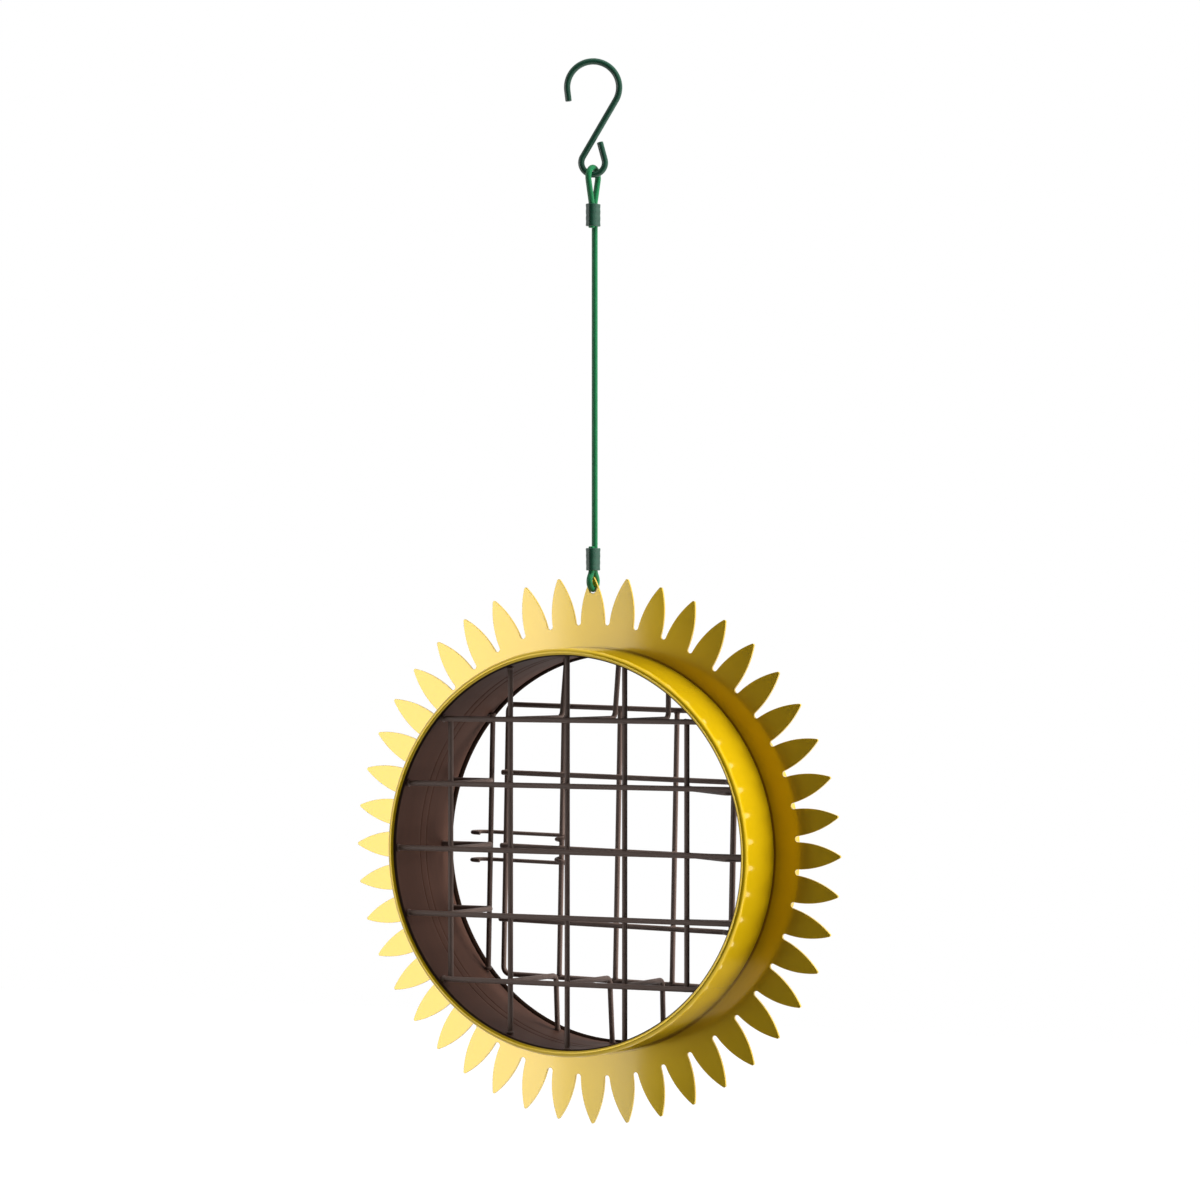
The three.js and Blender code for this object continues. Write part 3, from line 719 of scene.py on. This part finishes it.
def swellings(places, sizes):
    """Rounded forms p + (a cos u sin v, b sin u sin v, c cos v), one for each place p."""
    u, v = np.meshgrid(np.linspace(0, 2 * math.pi, 13), np.linspace(0, math.pi, 8),
                       indexing="ij")
    ball = np.stack([np.cos(u) * np.sin(v), np.sin(u) * np.sin(v), np.cos(v)], -1)
    return np.asarray(places)[:, None, None] + np.asarray(sizes)[:, None, None] * ball


cage_places = [[x, (row_y + column_y) / 2, z] for z in rows for x in columns]
cage_sizes = [crossing_weld] * len(cage_places)
for (side, _), (start, corner, end) in ties.items():
    cage_places += [start - across_y * fit_gap / 2, end]
    if side in ("left", "right"):
        post = hinge_x if side == "right" else latch_x
        height = corner[2] - ring_centre[2]
        cage_places.append([post + math.tan(rear_lean) * height, (tie_y + post_y) / 2,
                            corner[2]])
cage_sizes += [tie_weld] * (len(cage_places) - len(cage_sizes))
ends = [(node_box(f"front_row_{i}"), 0) for i in range(1, 6)]
ends += [(node_box(f"front_column_{i}"), 2) for i in (2, 3, 4)]
for (low, high), run in ends:
    for end in (low, high):
        place = (low + high) / 2
        place[run] = end[run]
        cage_places.append(place)
        cage_sizes.append(wall_weld[run])
for x in (hinge_x, latch_x):
    cage_places += list(leaning(upright(x, post_y, 0.0, wall_reach(x)))[[0, -1]])
    cage_sizes += [wall_weld[2]] * 2
cage_welds = make_piece("cage_welds", [swellings(cage_places, cage_sizes)])
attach(cage_welds, "feeder")
print("cage welds:", len(cage_places))

# %% Door welds
between = (door_y + post_y) / 2
door_places = [[x, between, z] for z in door_rows
               for x in (*door_columns, -half_width, half_width)]
frame_places = [[x, door_y, ring_centre[2] + door_rise + side * (half_height - wire)]
                for x in door_columns for side in (-1, 1)]
door_sizes = [crossing_weld] * len(door_places) + [frame_weld] * len(frame_places)
door_places += frame_places
door_welds = make_piece("door_welds", [swellings(leaning(door_places), door_sizes)])
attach(door_welds, "door")
print("door welds:", len(door_places))

# %% [markdown]
# ## Writing materials as sums
#
# A material is a small sum over the surface: a colour, plus a mottle, less some wear.  Wiring
# nodes by hand hides that sum, so a socket is wrapped in a class that knows how to add and
# multiply, and every expression below lays its own nodes.  A second class lays any other node
# in one call, for a paint and for the world alike.

# %% A socket that can be added and multiplied
class Value:
    """A number that varies over a surface.  Each operator adds one Math node to its tree."""

    def __init__(self, tree, socket):
        self.tree, self.socket = tree, socket

    def maths(self, operation, *others):
        """A Math node with this value first and the others after it."""
        return self.tree.node("Math", {"operation": operation}, dict(enumerate([self, *others])))

    def __add__(self, other):
        return self.maths("ADD", other)

    def __sub__(self, other):
        return self.maths("SUBTRACT", other)

    def __rsub__(self, other):
        return self.maths("MULTIPLY_ADD", -1.0, other)

    def __mul__(self, other):
        return self.maths("MULTIPLY", other)

    def __pow__(self, other):
        return self.maths("POWER", other)

    __radd__, __rmul__ = __add__, __mul__

    def band(self, low, high):
        """0 below low, 1 above high, and a smooth step between them."""
        return self.tree.node("MapRange", {"interpolation_type": "SMOOTHSTEP"},
                              {"Value": self, "From Min": low, "From Max": high})


print("a value can", [name for name, part in vars(Value).items() if callable(part)])

# %% A tree that grows by one call a node
class Tree:
    """The nodes of a paint or of the world, and the ways to add to them."""

    def __init__(self, owner):
        owner.use_nodes = True
        self.nodes, self.links = owner.node_tree.nodes, owner.node_tree.links

    def set_socket(self, socket, value):
        """Links a socket where the value varies, and sets it where it is a number, a vector or
        a colour, which gets its fourth number here."""
        if isinstance(value, Value):
            self.links.new(value.socket, socket)
        else:
            socket.default_value = (*value, 1.0) if socket.type == "RGBA" else value

    def node(self, kind, settings=None, sockets=None, output=0):
        """Adds a node: its type, its settings, which are set first, then the values or links
        of its sockets.  Gives back one of its outputs."""
        made = self.nodes.new("ShaderNode" + kind)
        for key, value in (settings or {}).items():
            setattr(made, key, value)
        for key, value in (sockets or {}).items():
            self.set_socket(made.inputs[key], value)
        return Value(self, made.outputs[output])

    def outputs(self, kind, names, sockets=None):
        """Several outputs of one new node."""
        made = self.node(kind, {}, sockets).socket.node
        return [Value(self, made.outputs[name]) for name in names]

    def mix(self, share, first, second):
        """A colour between two others: a Mix node's colour sockets have the numbers 6 and 7,
        and its colour output the number 2."""
        return self.node("Mix", {"data_type": "RGBA"}, {0: share, 6: first, 7: second}, 2)

    def looked_at(self):
        """1 where the camera, a gloss or a clear surface looks straight at this, else 0."""
        camera_ray, glossy_ray, clear_ray = self.outputs(
            "LightPath", ("Is Camera Ray", "Is Glossy Ray", "Is Transmission Ray"))
        return camera_ray.maths("MAXIMUM", glossy_ray).maths("MAXIMUM", clear_ray)


print("a tree can", [name for name, part in vars(Tree).items() if callable(part)])

# %% One material
class Paint(Tree):
    """One material with its Principled surface."""

    def __init__(self, name):
        self.material = bpy.data.materials.new(name)
        super().__init__(self.material)
        self.surface, self.end = [next(n for n in self.nodes if n.type == kind)
                                  for kind in ("BSDF_PRINCIPLED", "OUTPUT_MATERIAL")]

    def place(self, stretch=(1.0, 1.0, 1.0)):
        """The object's own coordinates, in metres, stretched along each axis."""
        here = self.node("TexCoord", output="Object")
        return self.node("Mapping", {}, {"Vector": here, "Scale": stretch})

    def cloud(self, scale, detail=3.0, roughness=0.5, where=None):
        """Soft noise from 0 to 1 with features of about one over scale, in metres."""
        return self.node("TexNoise", {"noise_dimensions": "3D"},
                         {"Vector": where or self.place(), "Scale": scale, "Detail": detail,
                          "Roughness": roughness})

    def fill(self, surface=None, **values):
        """Sets the surface's sockets: a plain value, or a link where it varies."""
        for key, value in values.items():
            self.set_socket((surface or self.surface).inputs[key.replace("_", " ")], value)

    def under(self, share, **values):
        """A second paint, which shows instead of the first where share is 1."""
        other = self.node("BsdfPrincipled")
        self.fill(other.socket.node, **values)
        both = self.node("MixShader", {}, {0: share, 1: Value(self, self.surface.outputs[0]),
                                           2: other})
        self.set_socket(self.end.inputs["Surface"], both)

    def dent(self, height, strength, distance):
        """A bump that feeds the normal."""
        self.fill(Normal=self.node("Bump", {}, {"Height": height, "Strength": strength,
                                                "Distance": distance}))


print("a paint also can", [name for name, part in vars(Paint).items() if callable(part)])

# %% [markdown]
# ## Yellow paint
#
# The petals go from pale straw on the left to dark gold on the right, though the sheet is flat.
# That is the mark of a glossy enamel: it mirrors the lit side of the studio on the left and the
# dark side on the right.  The ground is a warm yellow whose own gloss is tinted gold, as that of
# a pearl paint is, and a thin clear coat lies over it.  Fine orange peel keeps the reflections
# soft.  On the curled edges the coat has run thin, so they shine less.  Painted shade darkens
# the sheet a little towards the drum, and a line of painted shade darkens the corner between
# them.
# The inside of both curls is brown paint, made far darker than the lining as painted shade.
# That inside is a second surface under a mask, because its gloss differs as well as its colour.

# %% Places in the yellow paint
drum_middle = -0.0007
yellow = Paint("yellow enamel")
mottle = yellow.cloud(38.0, 4.0)
speck = yellow.cloud(900.0, 2.0)
x, y, z = yellow.outputs("SeparateXYZ", "XYZ", {"Vector": yellow.place()})
height = z - float(ring_centre[2]) * MM
from_axis = (x * x + height * height) ** 0.5
off_sheet = y.maths("ABSOLUTE")
off_shell = (from_axis - drum_radius * MM).maths("ABSOLUTE")
off_middle = (y - drum_middle).maths("ABSOLUTE")
print("distances take", len(yellow.nodes), "nodes")

# %% Where the yellow changes
# Each pair gives the distances, in metres, at which a mask begins and ends to change.
corner_shade_off_sheet, corner_shade_off_shell = (0.0007, 0.0018), (0.0005, 0.0013)
drum_shade_off_sheet, drum_shade_off_shell = (0.0007, 0.0010), (0.002, 0.017)
curl_inside_radius, rear_gain, gain_run = (0.0908, 0.0913), 0.0021, (0.0, 0.02)
curl_off_middle = (0.0250, 0.0262)
# Painted shade: a dark line along the corner between the sheet and the drum.
corner_shade = (1.0 - off_sheet.band(*corner_shade_off_sheet)) * (1.0 - off_shell.band(*corner_shade_off_shell))
# Painted shade: the sheet darkens softly towards the drum.
drum_shade = (1.0 - off_sheet.band(*drum_shade_off_sheet)) * (1.0 - off_shell.band(*drum_shade_off_shell))
# The inside of both curls: brown paint, made far darker than the lining as painted shade.
inner = 1.0 - (from_axis - rear_gain * y.band(*gain_run)).band(*curl_inside_radius)
curled = off_middle.band(*curl_off_middle)
print("masks bring them to", len(yellow.nodes))

# %% Yellow ground, gloss and coat
ground = yellow.mix(mottle, (0.455, 0.294, 0.002), (0.495, 0.322, 0.003))
ground = yellow.mix(speck.band(0.62, 0.75) * 0.12, ground, (0.40, 0.25, 0.002))
# Painted shade: the sheet is darkened towards the drum.
ground = yellow.mix(drum_shade * 0.4, ground, (0.34, 0.195, 0.001))
# Painted shade: the corner between the sheet and the drum is painted dark.
ground = yellow.mix(corner_shade * 0.8, ground, (0.12, 0.040, 0.003))
yellow.fill(Base_Color=ground, Metallic=0.05 * mottle, IOR=2.5,
            Roughness=0.14 + 0.03 * mottle + 0.06 * curled, Specular_Tint=(1.0, 0.69, 0.04),
            Coat_Weight=1.0 - 0.6 * curled, Coat_Roughness=0.055, Coat_IOR=1.54)
peel = 0.3 * yellow.cloud(420.0, 2.0) + yellow.cloud(45.0, 1.0)
yellow.dent(peel, 0.2, 0.00010)
# The inside of both curls: brown paint, darkened far below the lining's brown as painted shade.
yellow.under(inner, Base_Color=yellow.mix(mottle, (0.010, 0.005, 0.003), (0.018, 0.009, 0.006)),
             Roughness=0.7, Specular_IOR_Level=0.03)
print("yellow:", len(yellow.nodes), "nodes")

# %% [markdown]
# ## Brown paint
#
# The cage and the lining are a soft dark brown, between matt and satin, as a dipped or sprayed
# undercoat is.  It lies thicker in some places, and thin streaks run round the lining.  The
# lining's brown is much darker than the wires', which is painted shade for the inside of the
# drum.

# %% Brown paint
def brown_paint(name, light, dark, streak, gloss):
    """A satin brown with slow cloudy patches.  streak stretches the patches along Y and Z."""
    paint = Paint(name)
    patch = paint.cloud(55.0, 4.0, where=paint.place(streak))
    grain = paint.cloud(1300.0, 2.0)
    paint.fill(Base_Color=paint.mix(0.75 * patch + 0.25 * grain, dark, light),
               Roughness=0.5 + 0.16 * patch, Specular_IOR_Level=gloss)
    paint.dent(grain + 0.7 * paint.cloud(300.0, 2.0), 0.35, 0.00010)
    return paint


wire_brown = brown_paint("brown wire paint", (0.172, 0.120, 0.100), (0.118, 0.081, 0.067),
                         (1.0, 1.0, 1.0), 0.35)
# Painted shade: the lining takes the wires' brown paint, made much darker for the shade inside
# the drum.
shaded_lining_brown = brown_paint("brown lining paint", (0.088, 0.045, 0.033), (0.062, 0.031, 0.022),
                           (1.0, 6.0, 1.0), 0.04)
print("browns:", len(wire_brown.nodes), len(shaded_lining_brown.nodes), "nodes")

# %% [markdown]
# ## Green coat and dark green paint
#
# The cable's plastic coat is smooth, but the twist of the strands shows through as faint
# slanting ridges, so its height is a wave in the cable's own coordinates: distance along plus
# turn round.  The hook and the sleeves are painted a much darker green.

# %% Green coat
strands, strand_lay = 6.0, 9.0
green = Paint("green cable coat")
marks = green.node("UVMap", {"uv_map": "along"})
along, around = green.outputs("SeparateXYZ", "XY", {"Vector": marks})
twist = (along * (mark_length / strand_lay) + around * strands).maths("FRACT")
ridge = (twist - 0.5).maths("ABSOLUTE") * 2.0
stain = green.cloud(220.0, 3.0)
green.fill(Base_Color=green.mix(0.85 * stain + 0.15 * ridge,
                                (0.006, 0.092, 0.030), (0.013, 0.150, 0.054)),
           Roughness=0.42 + 0.12 * stain, Specular_IOR_Level=0.35)
green.dent(ridge + 0.4 * stain, 0.12, 0.00006)
print("green coat:", len(green.nodes), "nodes")

# %% Dark green paint
dark_green = Paint("dark green paint")
worn = dark_green.cloud(150.0, 4.0)
dark_green.fill(Base_Color=dark_green.mix(worn, (0.004, 0.028, 0.016), (0.012, 0.060, 0.034)),
                Roughness=0.27 + 0.15 * worn, Specular_IOR_Level=0.45)
dark_green.dent(dark_green.cloud(700.0, 2.0), 0.15, 0.00005)
print("dark green:", len(dark_green.nodes), "nodes")

# %% Give each piece its paint
painted = [(petals, yellow), (drum, yellow), (liner, shaded_lining_brown), (cable, green),
           (hook, dark_green), (cage_welds, wire_brown), (door_welds, wire_brown),
           (latch, wire_brown)]
painted += [(s, dark_green) for s in sleeves]
painted += [(w, wire_brown) for w in cage_wires + door_wires]
for piece, paint in painted:
    piece.data.materials.clear()
    piece.data.materials.append(paint.material)
print("painted pieces:", len(painted))

# %% [markdown]
# ## The studio
#
# The feeder hangs before a white wall over a white floor.  The white of the wall comes from the
# world where the camera, or a mirror-like paint, looks straight at it; nearly all other light
# comes from lamps.  A soft light on the left, with a dimmer panel along its inner edge, gives
# the petals their pale side, and a dark card, which only reflections see, gives them their dark
# gold side.  One light on the right and one above light the drum without being mirrored in it,
# and a panel that only reflections see brightens the left edge of the drum's rim.

# %% World
black, white = (0.0, 0.0, 0.0), (1.0, 1.0, 1.0)
wall_light, fill_strength = 1.0, 0.07
world = bpy.data.worlds.new("white room")
scene.world = world
room = Tree(world)
room.nodes.clear()
fill_light, wall_seen = [room.node("Background", {}, {"Color": white, "Strength": power})
                         for power in (fill_strength, wall_light)]
room_light = room.node("MixShader", {}, {0: room.looked_at(), 1: fill_light, 2: wall_seen})
room.links.new(room_light.socket, room.nodes.new("ShaderNodeOutputWorld").inputs["Surface"])
print("world:", len(room.nodes), "nodes")

# %% Floor
floor_half, floor_z, floor_light = 5.0, -0.95, 0.95
floor_mesh = bpy.data.meshes.new("floor")
floor_mesh.from_pydata([(x * floor_half, y * floor_half, floor_z)
                        for x, y in ((-1, -1), (1, -1), (1, 1), (-1, 1))], [], [(0, 1, 2, 3)])
floor = bpy.data.objects.new("floor", floor_mesh)
scene.collection.objects.link(floor)
floor_paint = Paint("white floor")
floor_white = floor_paint.mix(floor_paint.cloud(3.0), (0.22, 0.22, 0.22), (0.24, 0.24, 0.24))
floor_paint.fill(Base_Color=floor_white, Roughness=0.9, Emission_Strength=floor_light,
                 Emission_Color=floor_paint.mix(floor_paint.looked_at(), black, white))
floor_mesh.materials.append(floor_paint.material)
print("floor at", floor_z)

# %% Lamps
def softbox(name, azimuth, elevation, distance, width, height, radiance, mirrored, lights):
    """A flat soft light that faces the feeder.  Azimuth is measured from the feeder's front,
    towards its right, and lengths are in metres.  Power is radiance times pi times the area.
    mirrored says whether gloss shows it, and lights whether it lights dull surfaces."""
    a, e = math.radians(azimuth), math.radians(elevation)
    direction = np.array([math.sin(a) * math.cos(e), -math.cos(a) * math.cos(e), math.sin(e)])
    data = bpy.data.lights.new(name, "AREA")
    data.shape, data.size, data.size_y = "RECTANGLE", width, height
    data.energy = radiance * math.pi * width * height
    lamp = bpy.data.objects.new(name, data)
    lamp.location = ring_centre * MM + direction * distance
    lamp.rotation_euler = (math.pi / 2 - e, 0.0, a)
    lamp.visible_camera = False
    lamp.visible_glossy = mirrored
    lamp.visible_diffuse = lights
    scene.collection.objects.link(lamp)


# name, azimuth, elevation, distance, width, height, radiance, mirrored, lights
for plan in (("left softbox", -35.03, 3, 2.0, 0.419, 1.3, 3.75, True, True),
             ("left edge panel", -27.88, 3, 2.0, 0.082, 1.3, 1.35, True, True),
             ("right softbox", 108, -9, 1.8, 1.2, 1.6, 14.0, False, True),
             ("top softbox", 112, 66, 1.9, 1.2, 1.2, 16.5, False, True),
             ("rim panel", -62.0, 3, 2.0, 1.35, 1.3, 1.3, True, False)):
    softbox(*plan)

# %% Dark card
# An upright curved card: x = away sin a, y = -away cos a, between two azimuths in degrees.
card_first, card_last, card_half, card_away = -26.6, 60.0, 1500.0, 1150.0
a, z = np.meshgrid(np.radians(np.linspace(card_first, card_last, 24)),
                   [-card_half, card_half], indexing="ij")
card_grid = np.stack([card_away * np.sin(a), -card_away * np.cos(a), z], -1)
dark_card = make_piece("dark_card", [card_grid + ring_centre])
card_paint = Paint("black card")
card_paint.fill(Base_Color=card_paint.mix(card_paint.cloud(4.0), (0.02, 0.02, 0.02),
                                          (0.03, 0.03, 0.03)), Roughness=0.9)
dark_card.data.materials.append(card_paint.material)
for ray in ("camera", "diffuse", "shadow", "transmission"):
    setattr(dark_card, "visible_" + ray, False)
scene.view_settings.view_transform = "Standard"
print("card in place")

# %% [markdown]
# ## The size of the feeder
#
# The dressed feeder should be exactly as large as the measured one.
